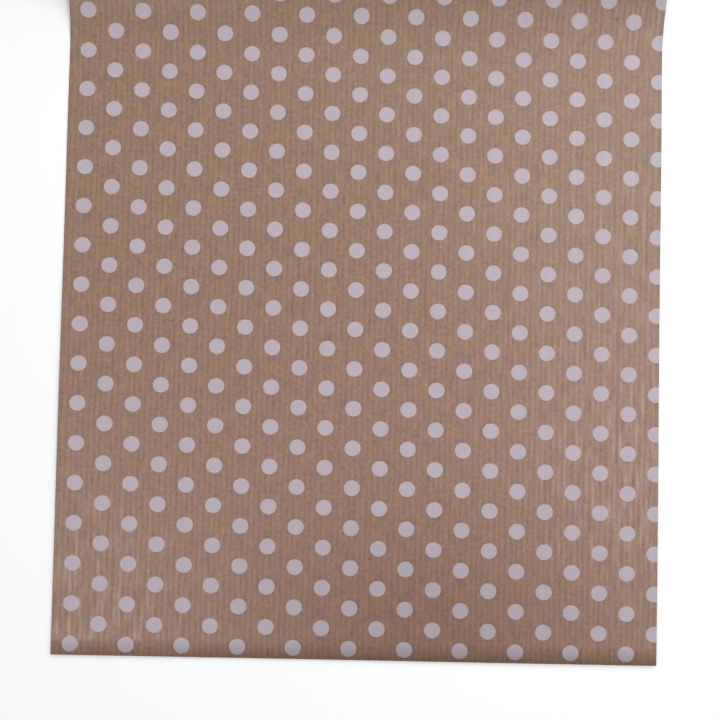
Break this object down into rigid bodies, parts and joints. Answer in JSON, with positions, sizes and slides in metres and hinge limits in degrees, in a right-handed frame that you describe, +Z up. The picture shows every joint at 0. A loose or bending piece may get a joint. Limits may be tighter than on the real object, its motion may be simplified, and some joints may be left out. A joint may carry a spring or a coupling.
{
  "type": "wrapping paper roll",
  "caption": "Dotted kraft wrapping paper on a spiral cardboard core, with part of it unrolled flat from the top of the roll.",
  "frame": {"origin": "on the floor, under the middle of the whole object's box", "axes": "+Z up; +X along the roll's axis; +Y from the cut end of the laid sheet towards the roll"},
  "size_m": [0.305, 0.4357, 0.0517],
  "materials": {
    "printed_kraft": "ribbed brown kraft with a soft sheen, printed with pale dots",
    "wound_kraft": "the same paper, wound tight",
    "paper_tape": "creped, satin",
    "core_inner_board": "matte",
    "core_middle_board": "matte",
    "core_outer_board": "matte"
  },
  "bodies": {
    "sheet": {"laid_sheet": "printed_kraft"},
    "lead": {"lead_out": "printed_kraft"},
    "roll": {"wound_paper": "wound_kraft", "starter_tape": "paper_tape", "core_inner_ply": "core_inner_board", "core_middle_ply": "core_middle_board", "core_outer_ply": "core_outer_board"}
  },
  "joints": [
    {"name": "roll_travel", "type": "slide", "parent": "sheet", "child": "lead", "axis": [0, 1, 0], "range_m": [0, 0.40307]},
    {"name": "roll_spin", "type": "hinge", "parent": "lead", "child": "roll", "pos_m": [0, 0.19177, 0.02566], "axis": [1, 0, 0], "range_deg": [-0.1, 900.1]}
  ],
  "couplings": [
    {"joint": "roll_spin", "follows": "roll_travel", "rad_per_m": 38.971}
  ]
}
